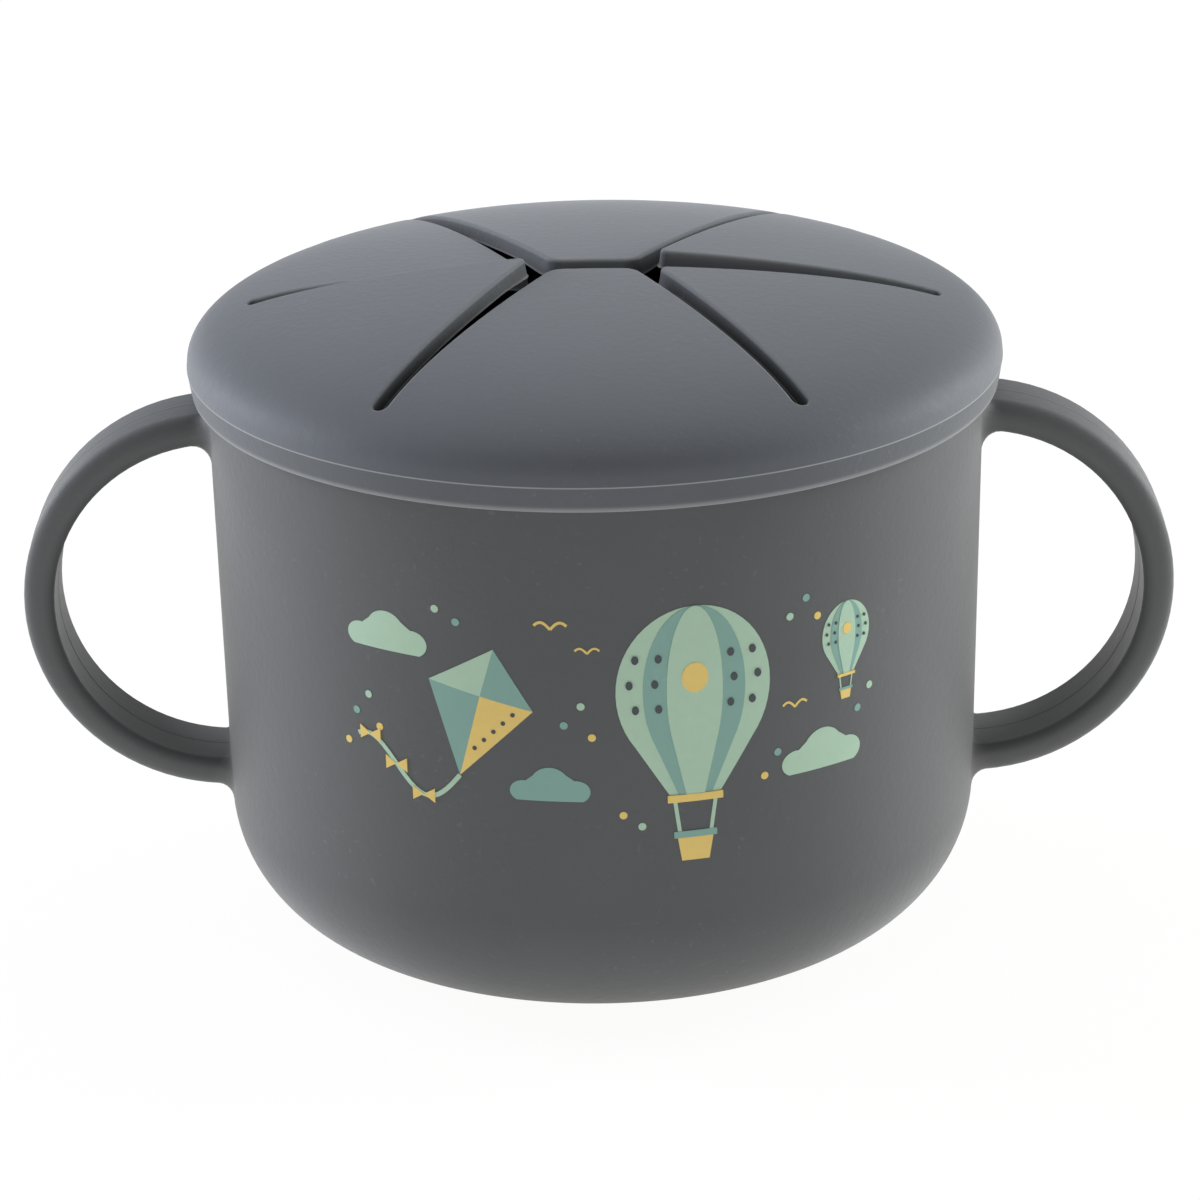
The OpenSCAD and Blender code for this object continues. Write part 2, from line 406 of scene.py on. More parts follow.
def cup_profile():
    """Profile of the cup, from the middle of its floor over the lip to the middle of its foot."""
    in_round = FOOT_ROUND - WALL_TOP - WALL_GAIN
    corner_r = wall_r(FOOT_ROUND) - FOOT_ROUND
    in_z = FLOOR_T + in_round
    in_corner_r = wall_in_r(in_z) - in_round
    inside = [(0, FLOOR_T), (in_corner_r / 2, FLOOR_T)]
    inside += arc(in_corner_r, in_z, in_round, -90, -1, 22)
    inside += [(wall_in_r(z), z) for z in WALL_HEIGHTS]
    lip = arc(wall_in_r(LIP_Z) + LIP_ROUND, LIP_Z - LIP_ROUND, LIP_ROUND, 180, 90, 6)
    lip += arc(CUP_R - LIP_ROUND, LIP_Z - LIP_ROUND, LIP_ROUND, 90, 0, 6)
    outside = [(wall_r(z), z) for z in (BAND_LOW_Z,) + WALL_HEIGHTS[::-1]]
    outside += arc(corner_r, FOOT_ROUND, FOOT_ROUND, -1, -90, 30)
    under = [(FOOT_RECESS_R + RECESS_ROUND, 0)]
    under += arc(FOOT_RECESS_R - RECESS_ROUND, FOOT_RECESS - RECESS_ROUND, RECESS_ROUND, 0, 90, 4)
    return inside + lip + outside + under + [(0, FOOT_RECESS)]


points, faces, pale = revolve(cup_profile(), TURNS)
cup = skin("cup_skin", points, faces, CUP_GREY, pale)
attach(cup, "cup")
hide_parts("cup_bowl")
print("cup skin:", len(faces), "faces")

# %% [markdown]
# ## The handles
#
# Each handle is half a ring. Its finger side is flat, with a fine chamfer at each edge, and its outer side
# is rounded at both edges. A fine mould line runs along the middle of both sides. The ring carries painted
# light on its finger side, rounds and chamfers, a painted highlight on each mould line with painted shade
# beside it, and painted shade on the chamfers at the finger side. Where the ring leaves the wall it flares
# out in a fillet that ends flush with the wall. So the ring is swept row by row: every row keeps its
# distance from the round wall, and rows close to the wall are pushed outward by a quarter circle.

# %% Section of the handle
SIDE_ROUND, OUT_ROUND = 1.6, 2.4
FINGER_CUT, FINGER_RUN, FINGER_EDGE = 0.7, 1.5, 0.3
MOULD_LINE, MOULD_LINE_W = 0.07, 0.22
# Painted light on the rounds, chamfers and finger side, and a painted highlight on the mould lines
SIDE_PAINTED_LIGHT, FINGER_PAINTED_LIGHT, LINE_HIGHLIGHT = 0.08, 0.2, 0.4
# Painted shade on the chamfers at the finger side and beside the mould lines
CUT_SHADE, LINE_SHADE = 0.2, 0.35


def loop_section():
    """Section from the finger side's middle round to it again: (out, across, painted light, painted shade).
    """
    side = LOOP_W / 2
    half = [(-MOULD_LINE, 0, LINE_HIGHLIGHT, 0.0), (0, MOULD_LINE_W, 0.0, LINE_SHADE)]
    half += [(0, across, FINGER_PAINTED_LIGHT, 0.0) for across in
             (2 * MOULD_LINE_W, side * 0.5, side - FINGER_CUT - FINGER_EDGE, side - FINGER_CUT)]
    for turn in np.radians(np.linspace(45, 90, 7))[1:]:
        out = FINGER_RUN * (1 - math.cos(turn) * math.sqrt(2))
        across = side - FINGER_CUT * (1 - math.sin(turn)) / (1 - math.sqrt(0.5))
        pale, dark = SIDE_PAINTED_LIGHT * math.sin(2 * turn - math.pi / 2), CUT_SHADE * math.sin(2 * turn)
        half.append((out, across, pale, dark))
    for turn in np.radians(np.linspace(0, 90, 12)):
        out = LOOP_T - OUT_ROUND * (1 - math.sin(turn))
        across = side - SIDE_ROUND * (1 - math.cos(turn))
        half.append((out, across, SIDE_PAINTED_LIGHT * math.cos(turn), 0.0))
    half += [(LOOP_T, 2 * MOULD_LINE_W, 0.0, 0.0), (LOOP_T, MOULD_LINE_W, 0.0, LINE_SHADE),
             (LOOP_T + MOULD_LINE, 0, LINE_HIGHLIGHT, 0.0)]
    back = [(out, -across, pale, dark) for out, across, pale, dark in half[-2:0:-1]]
    return half + back


SECTION = loop_section()
print("points round the handle's section:", len(SECTION))

# %% Sweep of the handle
ROOT_STEPS = (0.0, 0.05, 0.2, 0.45, 0.8, 1.25, 1.8, 2.5, 3.3)
LOOP_ROWS = 40
FLARE_SIDE, FLARE_IN, FLARE_OUT = 2.8, (2.6, 0.7), (1.0, 1.6)
ROOT_SUNK = 0.6
ROOT_ANGLES, HALVINGS = (0.7, 2.2), 40


def wall_x(y, z):
    """How far out the round wall is at a place across and a height."""
    return math.sqrt(wall_r(z) ** 2 - y * y)


def root_angle(rho, y, up):
    """Angle at which a ring of radius rho meets the wall, by halving."""
    near, far = ROOT_ANGLES
    for _ in range(HALVINGS):
        middle = (near + far) / 2
        x = LOOP_X + rho * math.cos(middle)
        if x > wall_x(y, LOOP_Z + up * rho * math.sin(middle)):
            near = middle
        else:
            far = middle
    return near


def section_normals():
    """Outward direction of each point of the section, in the section's own plane."""
    p = np.array([s[:2] for s in SECTION])
    along = np.roll(p, -1, 0) - np.roll(p, 1, 0)
    along /= np.linalg.norm(along, axis=1)[:, None]
    return np.stack([-along[:, 1], along[:, 0]], 1)


def flare(distance, size):
    """How far a quarter-round fillet stands out at a distance from the wall."""
    if distance >= size:
        return 0.0
    return size - math.sqrt(size ** 2 - (size - distance) ** 2)


def root_rows(up):
    """Rows from inside the wall out to where the fillet ends, for the upper or the lower arm."""
    arm = 0 if up > 0 else 1
    rows = []
    for step in (None,) + ROOT_STEPS:
        row = []
        for (out, y, *_), (n_out, n_y) in zip(SECTION, section_normals()):
            rho = LOOP_R + out
            turn = root_angle(rho, y, up)
            size = FLARE_SIDE * n_y ** 2 + (FLARE_OUT[arm] if n_out > 0 else FLARE_IN[arm]) * n_out ** 2
            push = flare(step or 0.0, size)
            z = LOOP_Z + up * (rho + n_out * push) * math.sin(turn - (step or 0.0) / rho)
            y = y + n_y * push
            row.append((wall_x(y, z) + (-ROOT_SUNK if step is None else step), y, z))
        rows.append(row)
    return rows


def handle_rows():
    """All rows of the ring: the upper root, the free loop and the lower root."""
    top, bottom = root_rows(1), root_rows(-1)
    middle = []
    for k in range(1, LOOP_ROWS):
        row = []
        for out, y, *_ in SECTION:
            rho = LOOP_R + out
            start = root_angle(rho, y, 1) - ROOT_STEPS[-1] / rho
            end = root_angle(rho, y, -1) - ROOT_STEPS[-1] / rho
            turn = start + (-end - start) * k / LOOP_ROWS
            row.append((LOOP_X + rho * math.cos(turn), y, LOOP_Z + rho * math.sin(turn)))
        middle.append(row)
    return top + middle + bottom[::-1]


def make_handle(side, x_sign):
    """The skin of one handle; both are the same ring, mirrored."""
    rows = handle_rows()
    count = len(SECTION)
    points = [(x_sign * x, y, z) for row in rows for x, y, z in row]
    faces = [[a + k, a + (k + 1) % count, a + count + (k + 1) % count, a + count + k]
             for a in range(0, len(points) - count, count) for k in range(count)]
    faces += [list(range(count)), list(range(len(points) - count, len(points)))]
    pale, dark = ([spot[mark] for _ in rows for spot in SECTION] for mark in (2, 3))
    handle = skin(f"handle_{side}_skin", points, faces, CUP_GREY, pale, dark=dark)
    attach(handle, "cup")
    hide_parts(f"handle_{side}")
    return handle


for side, x_sign in (("right", 1), ("left", -1)):
    handle = make_handle(side, x_sign)
    print(handle.name, len(handle.data.polygons), "faces")

# %% [markdown]
# ## The lid's rim
#
# Outside the slits the lid is a turned profile too: the dome's edge, the band with a crisp line at its top
# and a rounded foot, the groove that takes the cup's lip, and the plug ring. It meets the petals at one
# circle, where both have the same height and the same shading. The band's top line has a painted
# highlight, its foot painted light as from the floor below, and its face painted shade, which makes it a
# little darker than the dome.

# %% Rim
JOIN_R = 48.2
CROWN_ROWS, CROWN_END_DEG = 12, 86
EDGE_UP, EDGE_LINE, EDGE_IN = 0.35, 0.08, 0.02
# The band's rounded foot, and the painted light on it, as from the floor
BAND_FOOT, FOOT_FLOOR_LIGHT = 0.45, 0.55
FOOT_EASE = ((0.12, 2.2, 0.0), (0.05, 1.6, 0.1))  # out, up as a share of BAND_FOOT, paleness
SKIRT_BEVEL, GROOVE_BEVEL = 0.2, 0.3
# Painted shade on the band's face, and how far up and in it reaches
BAND_SHADE, BAND_REACH_UP, BAND_REACH_IN = 0.25, 0.3, 0.5


def dome_points(radii, height):
    """Points of a profile that follows one of the dome's faces."""
    return [(r, height(r)) for r in radii]


def dome_slope(x, y):
    """Gradient of the dome's outer face in plan."""
    r2 = min((x * x + y * y) / LID_R ** 2, 0.999)
    share = -2 * DOME_POWER * DOME_RISE / LID_R ** 2 * (1 - r2) ** (DOME_POWER - 1)
    return np.array([share * x, share * y])


def facing(slope):
    """Unit normal of a surface with this slope in plan."""
    n = np.array([-slope[0], -slope[1], 1.0])
    return n / np.linalg.norm(n)


def band_points():
    """The band's face, with a painted highlight on its top line and painted floor light on its rounded foot:
    (radius, height, paleness).
    """
    edge_z, low_r = BAND_TOP_Z + EDGE_UP, LID_R - BAND_TAPER
    band = [(LID_R - EDGE_IN, edge_z + EDGE_LINE, 0.0), (LID_R, edge_z, 1.0),
            (LID_R, edge_z - EDGE_LINE, 1.0), (LID_R - EDGE_IN, edge_z - 2 * EDGE_LINE, 0.0)]
    band += [(low_r + out, BAND_LOW_Z + up * BAND_FOOT, paleness) for out, up, paleness in FOOT_EASE]
    foot = arc(low_r - BAND_FOOT, BAND_LOW_Z + BAND_FOOT, BAND_FOOT, 0, -90, 8)
    return band + [(r, z, FOOT_FLOOR_LIGHT * math.cos(math.radians(4 * k))) for k, (r, z) in enumerate(foot)]


def rim_profile():
    """Closed profile of the rim: crown, band, groove, plug ring and inner face."""
    crown_start = math.degrees(math.asin(JOIN_R / LID_R))
    crown_r = LID_R * np.sin(np.radians(np.linspace(crown_start, CROWN_END_DEG, CROWN_ROWS)))
    groove = [(SKIRT_R + SKIRT_BEVEL, BAND_LOW_Z), (SKIRT_R, BAND_LOW_Z + SKIRT_BEVEL),
              (SKIRT_R, LIP_Z - GROOVE_BEVEL), (SKIRT_R - GROOVE_BEVEL, LIP_Z),
              (PLUG_OUT_R + GROOVE_BEVEL, LIP_Z), (PLUG_OUT_R, LIP_Z - GROOVE_BEVEL)]
    plug = arc(PLUG_OUT_R - PLUG_T / 2, PLUG_LOW_Z + PLUG_T / 2, PLUG_T / 2, 0, -180, 10)
    under = dome_points(np.linspace(PLUG_OUT_R - PLUG_T, JOIN_R, 6), dome_under)
    return dome_points(crown_r, dome_top) + band_points() + groove + plug + under


def on_band(x, y, z):
    """Whether a point of the rim belongs to the band's outer face."""
    return z < BAND_TOP_Z + BAND_REACH_UP and math.hypot(x, y) > SKIRT_R + BAND_REACH_IN


points, faces, pale = revolve(rim_profile(), TURNS, closed=True)
normals = [(0.0, 0.0, 0.0)] * len(points)
crown = CROWN_ROWS * TURNS
normals[:crown] = [tuple(facing(dome_slope(x, y))) for x, y, _ in points[:crown]]
# Painted shade on the band's face
dark = [BAND_SHADE if on_band(*p) else 0.0 for p in points]
rim = skin("lid_rim_skin", points, faces, LID_GREY, pale, normals, dark)
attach(rim, "lid")
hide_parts("lid_ring")
print("rim:", len(faces), "faces")

# %% [markdown]
# ## The petals
#
# Six tapered slits cut the dome's top into petals: one slit to each side and two slanted ones to the
# front and back. They start at a small rectangular mouth and end in a round, so that the silicone doesn't
# tear. Each petal is made with its own slice of dome out to the join circle. The edges are slightly rounded
# on top, with a painted highlight along them, and the walls slope in towards a thin moulding lip below,
# painted pale as a highlight. Walls that face front or back get painted light, and the walls get painted
# shade, most of all those that face sideways. The lid was put on the cup a little askew, and most petals
# stand slightly up or down, as hands have left them.

# %% Plan of the slits
MOUTH_W = 4.8
SLIT_IN, SLIT_OUT = 2.8, 1.8
SIDE_END_R, SLANT_END_R, SLANT_DEG = LID_R - 8.0, LID_R - 5.2, 57
SLANT_START_X, SIDE_TIP_X = 6.9, 8.6
LID_TURN = -0.95


def turned(r, degrees):
    """Place at a radius and a direction from the axis."""
    return np.array([r * math.cos(math.radians(degrees)), r * math.sin(math.radians(degrees))])


SLIT_ENDS = [turned(SIDE_END_R if k % 3 == 0 else SLANT_END_R, a)
             for k, a in enumerate((0, SLANT_DEG, 180 - SLANT_DEG, 180, 180 + SLANT_DEG, 360 - SLANT_DEG))]
SLIT_STARTS = [np.array([sx * SLANT_START_X, sy * MOUTH_W / 2])
               for sx, sy in ((1, 0), (1, 1), (-1, 1), (-1, 0), (-1, -1), (1, -1))]


def slit_frame(k):
    """Along and left-hand directions of a slit, and its length."""
    run = SLIT_ENDS[k] - SLIT_STARTS[k]
    along = run / np.linalg.norm(run)
    return along, np.array([-along[1], along[0]]), np.linalg.norm(run)


print("slit lengths:", [round(float(slit_frame(k)[2]), 1) for k in range(6)])

# %% Outline of a petal
CORNER_ROUND = {"wide": 2.6, "narrow": 0.95}
EDGE_STEP = 1.4
END_STEPS, CORNER_STEPS = 7, 6


def slit_edge(k, side):
    """Straight edge of a slit on one side, from the mouth out, then the quarter round to its end."""
    along, left, _ = slit_frame(k)
    left = left * side
    centre = SLIT_ENDS[k] - along * SLIT_OUT / 2
    start = SLIT_STARTS[k] + left * SLIT_IN / 2
    end = centre + left * SLIT_OUT / 2
    turn = np.radians(np.linspace(0, 90, END_STEPS + 1))
    rounded = [(centre + SLIT_OUT / 2 * (left * math.cos(a) + along * math.sin(a)),
                left * math.cos(a) + along * math.sin(a)) for a in turn]
    return start, end, rounded


def meet(start, end, axis, value):
    """Where the line through two points reaches a value of x or y."""
    share = (value - start[axis]) / (end[axis] - start[axis])
    return start + (end - start) * share


def corner_round(before, corner, after, radius):
    """Round at a corner of the outline, as points with their inward directions."""
    a, b = before - corner, after - corner
    a, b = a / np.linalg.norm(a), b / np.linalg.norm(b)
    half = math.acos(np.clip(a @ b, -1, 1)) / 2
    middle = (a + b) / np.linalg.norm(a + b)
    centre = corner + middle * radius / math.sin(half)
    first = corner + a * radius / math.tan(half) - centre
    last = corner + b * radius / math.tan(half) - centre
    made = []
    for share in np.linspace(0, 1, CORNER_STEPS + 1):
        out = first * (1 - share) + last * share
        out = out / np.linalg.norm(out)
        made.append((centre + out * radius, -out))
    return made


def straight(start, end, inward):
    """Points between two ends, without the ends."""
    count = max(1, int(np.linalg.norm(end - start) / EDGE_STEP))
    return [(start + (end - start) * k / count, inward) for k in range(1, count)]


def petal_outline(i):
    """Wall line of petal i, from one slit's end round its tip to the next slit's end."""
    wide = i in (1, 4)
    axis, value = (1, MOUTH_W / 2) if wide else (0, SIDE_TIP_X)
    value *= 1 if i in (0, 1, 5) else -1
    first, second = slit_edge(i, 1), slit_edge((i + 1) % 6, -1)
    tip_a = meet(first[0], first[1], axis, value)
    tip_b = meet(second[0], second[1], axis, value)
    radius = CORNER_ROUND["wide" if wide else "narrow"]
    round_a = corner_round(first[1], tip_a, tip_b, radius)
    round_b = corner_round(tip_a, tip_b, second[1], radius)
    line = first[2][::-1]
    line += straight(first[1], round_a[0][0], first[2][0][1]) + round_a
    line += straight(round_a[-1][0], round_b[0][0], round_a[-1][1]) + round_b
    line += straight(round_b[-1][0], second[1], second[2][0][1]) + second[2]
    return line


print("outline points:", [len(petal_outline(i)) for i in range(6)])

# %% Filling a plan with a fine net
NET_ROW, NET_CLEAR = 0.87, 0.5  # gap between rows, and clearance to the boundary, as shares of the spacing


def inside(points, polygon):
    """Which points lie inside a closed polygon, and how far each is from its line."""
    a, b = polygon, np.roll(polygon, -1, 0)
    x, y = points[:, :1], points[:, 1:]
    crosses = (a[:, 1] > y) != (b[:, 1] > y)
    rise = np.where(a[:, 1] == b[:, 1], 1e-9, b[:, 1] - a[:, 1])
    hit = crosses & (x < a[:, 0] + (y - a[:, 1]) * (b[:, 0] - a[:, 0]) / rise)
    run = b - a
    share = ((x - a[:, 0]) * run[:, 0] + (y - a[:, 1]) * run[:, 1]) / np.maximum((run ** 2).sum(1), 1e-12)
    share = np.clip(share, 0, 1)
    gap = np.hypot(x - a[:, 0] - share * run[:, 0], y - a[:, 1] - share * run[:, 1])
    return hit.sum(1) % 2 == 1, gap.min(1)


def fill(boundary, spacing):
    """Triangles over a plan. The boundary's points come first, then those of an even net inside it."""
    boundary = np.array(boundary)
    lo, hi = boundary.min(0), boundary.max(0)
    rows = enumerate(np.arange(lo[1], hi[1], spacing * NET_ROW))
    net = np.array([(x + (row % 2) * spacing / 2, y)
                    for row, y in rows for x in np.arange(lo[0], hi[0], spacing)])
    held, gap = inside(net, boundary)
    plan = np.vstack([boundary, net[held & (gap > spacing * NET_CLEAR)]])
    outer = [list(range(len(boundary)))]
    _, _, triangles, origin, _, _ = geometry.delaunay_2d_cdt([Vector(p) for p in plan], [], outer, 1, 1e-6)
    return plan, [[origin[v][0] for v in face] for face in triangles]


# %% [markdown]
# A petal is built from its outline in plan. Rings of points follow the outline inward to make the rounded
# top edge, and a fine net fills the rest of both faces. Rows of points go down each wall. Its two seams
# run on from the slits' ends to the join circle, where the slice ends in a cut face that the rim hides.

# %% Sizes of a petal's edge
EDGE_ROUND = 0.5
RING_SHARES = (0.0, 0.04, 0.14, 0.3, 0.5, 0.74, 1.0)
WALL_DRAFT, WALL_TILT, MOULD_LIP = 0.3, 0.05, 0.12
# Painted highlight on the moulding lip at a wall's foot
LIP_HIGHLIGHT = 0.6
# Rows down a wall: share of its height, lip or no lip, height above its foot, painted highlight
WALL_ROWS = ((0.35, 0, 0, 0), (0.7, 0, 0, 0), (1, 0, 0.3, 0),
             (1, 1, 0.16, LIP_HIGHLIGHT), (1, 1, 0.05, LIP_HIGHLIGHT))
# Thickness at a petal's tip and along its free edges, and the radii between which it changes
TIP_T, EDGE_T = 2.45, 2.0
TIP_R, THIN_R = 8.0, 14.0
BORDER_SHARE = 0.5
NET, SEAM_STEP = 1.6, 0.6
# Painted shade in the slits: at a wall's top and foot, the share left at the mouth and on walls that face
# front or back, and how fast it fades up the rounded edge
SHADE_TOP, SHADE_FOOT, SHADE_AT_MOUTH, SHADE_FRONT, SHADE_FADE = 0.42, 0.95, 0.65, 0.2, 1.6
# Painted highlight along the rounded top edge, painted light on walls that face front or back, and how fast
# that light fades as a wall turns sideways
EDGE_HIGHLIGHT, FRONT_PAINTED_LIGHT, PAINTED_LIGHT_TURN = 0.35, 0.7, 1.6
RAISED = {0: 2.0, 2: -1.7, 3: 2.4, 4: 0.5, 5: 0.5}
RAISED_CURVE = 1.25


def on_lid(p):
    """A plan place or direction turned with the lid, which was put on the cup a little askew."""
    c, s = math.cos(math.radians(LID_TURN)), math.sin(math.radians(LID_TURN))
    return c * p[0] - s * p[1], s * p[0] + c * p[1]


def hinge_line(i):
    """Middle of the line a petal bends about, as a unit direction and a distance from the cup's axis."""
    middle = (SLIT_ENDS[i] + SLIT_ENDS[(i + 1) % 6]) / 2
    run = SLIT_ENDS[(i + 1) % 6] - SLIT_ENDS[i]
    out = np.array([run[1], -run[0]]) / np.linalg.norm(run)
    return out, float(out @ middle)


def raised(i, p):
    """How far a petal stands above or below the dome at a place in plan. RAISED is its value at the tip."""
    out, reach = hinge_line(i)
    share = np.clip((reach - out @ p) / reach, 0, 1)
    return RAISED.get(i, 0.0) * share ** RAISED_CURVE


def edge_drop(d):
    """How far the rounded edge lies below the dome at a distance in from the wall, and its slope."""
    left = EDGE_ROUND - d
    deep = math.sqrt(max(EDGE_ROUND ** 2 - left ** 2, 1e-9))
    return (EDGE_ROUND - deep, -left / deep) if d < EDGE_ROUND else (0.0, 0.0)


def under_edge(r, share):
    """Height of the inner face, which rises towards a petal's thinner edge. The share is 1 at the edge."""
    edge_t = float(np.interp(r, (TIP_R, THIN_R), (TIP_T, EDGE_T)))
    return dome_under(r) * (1 - share) + max(dome_top(r) - edge_t, dome_under(r)) * share


# %% Painted light and shade on a slit's wall
def wall_painted_shade(inward, share):
    """Painted shade on a wall, from its top at 0 to its foot at 1. A wall that faces sideways gets more of
    it.
    """
    sideways = min(1.0, SHADE_FRONT + abs(inward[0]))
    return sideways * (SHADE_TOP + (SHADE_FOOT - SHADE_TOP) * math.sqrt(share))


def wall_painted_light(inward, share):
    """Painted light on a wall, from its top at 0 to its foot at 1. Only walls to the front or back have it.
    """
    return FRONT_PAINTED_LIGHT * max(0.0, 1 - PAINTED_LIGHT_TURN * abs(inward[0])) * (1 - share) ** 2


# %% Building a petal's skin
class PetalSkin:
    """The skin of petal i while it is made: its points with their marks, and its faces."""

    def __init__(self, i):
        self.i = i
        self.line = petal_outline(i)
        self.points, self.pale, self.normals, self.dark, self.faces = [], [], [], [], []

    def place(self, p, z, pale=0.0, normal=(0.0, 0.0, 0.0), dark=0.0):
        """Adds a point and returns its number. The painted shade fades towards the mouth, which is more
        open.
        """
        self.points.append((*on_lid(p), z + raised(self.i, p)))
        self.pale.append(pale)
        self.normals.append((*on_lid(normal[:2]), normal[2]))
        self.dark.append(dark * (SHADE_AT_MOUTH + (1 - SHADE_AT_MOUTH) * np.linalg.norm(p) / SLANT_END_R))
        return len(self.points) - 1

    def strip(self, near, far):
        """Faces between two rows of points."""
        for k in range(len(near) - 1):
            self.faces.append([near[k], near[k + 1], far[k + 1], far[k]])


def top_rings(petal):
    """Rings of the rounded top edge, from the wall inward."""
    rings = []
    for share in RING_SHARES:
        d = share * EDGE_ROUND
        drop, slope = edge_drop(d)
        ring = []
        for p, inward in petal.line:
            q = p + inward * d
            normal = (*-inward, WALL_TILT) if share == 0 else facing(dome_slope(*q) - slope * inward)
            # Painted highlight along the rounded edge and painted light on front- and back-facing walls;
            # painted shade runs up from the wall
            pale = EDGE_HIGHLIGHT * math.sin(math.pi * share) ** 2 + wall_painted_light(inward, share)
            dark = wall_painted_shade(inward, 0.0) * (1 - share) ** SHADE_FADE
            ring.append(petal.place(q, dome_top(np.linalg.norm(q)) - drop, pale, normal, dark))
        if rings:
            petal.strip(rings[-1], ring)
        rings.append(ring)
    return rings


def seam(p, along):
    """Points from the edge at a slit's end out to the join circle."""
    start = p + along * EDGE_ROUND
    b = start @ along
    reach = -b + math.sqrt(b * b - start @ start + JOIN_R ** 2)
    steps = max(2, round(reach / SEAM_STEP))
    return [start + along * reach * k / steps for k in range(1, steps + 1)]


def join_arc(start, end):
    """Points on the join circle, from the end of one seam to the end of the other."""
    turn_a, turn_b = (math.atan2(p[1], p[0]) for p in (start, end))
    turn_b += math.tau if turn_b < turn_a else 0
    steps = max(8, int((turn_b - turn_a) * JOIN_R / NET))
    return [turned(JOIN_R, math.degrees(a)) for a in np.linspace(turn_a, turn_b, steps + 1)]


def both_faces(petal, plan, triangles, last_ring):
    """Fills the outer and the inner face, and returns their points and the ring under the wall."""
    count = len(last_ring)
    top = last_ring + [petal.place(p, dome_top(np.linalg.norm(p)), 0.0, facing(dome_slope(*p)))
                       for p in plan[count:]]
    under_ring = [petal.place(p - inward * WALL_DRAFT, under_edge(np.linalg.norm(p), 1.0))
                  for p, inward in petal.line]
    under = [petal.place(p, under_edge(np.linalg.norm(p), BORDER_SHARE if k < count else 0.0))
             for k, p in enumerate(plan)]
    petal.strip(under_ring, under[:count])
    petal.faces += [[side[v] for v in t] for side in (top, under) for t in triangles]
    return top, under, under_ring


def wall_rows(petal, top_ring, under_ring):
    """Rows of points down the wall, as WALL_ROWS lists them."""
    rows = [top_ring]
    for share, lip, rise, lip_highlight in WALL_ROWS:
        row = []
        for p, inward in petal.line:
            r = np.linalg.norm(p)
            high_z, low_z = dome_top(r) - EDGE_ROUND, under_edge(r, 1.0) + rise
            q = p - inward * (WALL_DRAFT * share + MOULD_LIP * lip)
            # Painted highlight on the lip, painted light higher up, and painted shade down the wall
            pale, dark = lip_highlight or wall_painted_light(inward, share), wall_painted_shade(inward, share)
            row.append(petal.place(q, high_z + (low_z - high_z) * share, pale, dark=dark))
        petal.strip(rows[-1], row)
        rows.append(row)
    petal.strip(rows[-1], under_ring)
    return rows


def petal_mesh(i):
    """The whole skin of petal i: top edge, both faces, walls, and the cut faces at its seams."""
    petal = PetalSkin(i)
    rings = top_rings(petal)
    seams = [seam(*spot) for spot in (petal.line[0], petal.line[-1])]
    edge = join_arc(seams[0][-1], seams[1][-1])
    boundary = [p + inward * EDGE_ROUND for p, inward in petal.line]
    boundary += seams[1] + edge[-2:0:-1] + seams[0][::-1]
    plan, triangles = fill(boundary, NET)
    top, under, under_ring = both_faces(petal, plan, triangles, rings[-1])
    rows = wall_rows(petal, rings[0], under_ring)

    count = len(petal.line)
    seam_b = list(range(count, count + len(seams[1])))
    arc_keys = list(range(seam_b[-1], seam_b[-1] + len(edge)))
    seam_a = list(range(arc_keys[-1], len(boundary)))
    petal.strip([top[k] for k in arc_keys], [under[k] for k in arc_keys])
    for end, keys in ((-1, seam_b), (0, seam_a[::-1])):
        above = [ring[end] for ring in rings] + [top[k] for k in keys]
        below = [row[end] for row in rows[1:]] + [under_ring[end], under[count - 1 if end else 0]]
        petal.faces.append(above + [under[k] for k in keys[::-1]] + below[::-1])
    return petal


# %% The six petals
PETALS = ("petal_back_right", "petal_back", "petal_back_left",
          "petal_front_left", "petal_front", "petal_front_right")
for i, name in enumerate(PETALS):
    made = petal_mesh(i)
    petal = skin(name + "_skin", made.points, made.faces, LID_GREY,
                 made.pale, made.normals, made.dark)
    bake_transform(petal)
    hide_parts(name)

# %% [markdown]
# ## The print
#
# The front of the cup carries a small printed scene in mint, teal and yellow. This one is a generic sky:
# hot-air balloons, clouds, a kite, birds and dots. Ink is a very thin film, so each colour is a film of
# its own shapes that follows the round wall and stands a few hundredths of a millimetre proud, and what
# overlaps lies a little higher.

# %% Ink shapes
INK_FINISH = {"lined": False, "roughness": 0.5, "sheen": 0.1, "mottle": 0.03, "dust": 0.15, "grain": 0.6}
INK = {name: silicone("ink_" + name, colour, pale, **INK_FINISH)
       for name, colour, pale in (("mint", "b9d9c0", "d3e4d8"), ("teal", "8bb5aa", "b0cbc4"),
                                  ("yellow", "f6d67c", "f8e6b0"), ("dark", "4c5258", "8a8a88"))}
FILM = 0.05
FILM_NET = 1.5


def oval(u, v, half_u, half_v, start=0.0, end=360.0, steps=36):
    """Points round an oval; a whole turn doesn't repeat its first point."""
    turn = np.radians(np.linspace(start, end, steps + 1))
    if end - start >= 360:
        turn = turn[:-1]
    return [(u + half_u * math.cos(a), v + half_v * math.sin(a)) for a in turn]


def stroke(path, width):
    """Outline of a drawn line with square ends."""
    path = np.array(path, float)
    along = np.gradient(path, axis=0)
    along /= np.linalg.norm(along, axis=1)[:, None]
    side = np.stack([-along[:, 1], along[:, 0]], 1) * width / 2
    return [tuple(p) for p in np.vstack([path + side, (path - side)[::-1]])]


def on_cup(u, v, lift):
    """A place on the cup's front: u along the wall to the right, v above the table."""
    r = wall_r(v) + lift
    return (r * math.sin(u / CUP_R), -r * math.cos(u / CUP_R), v)


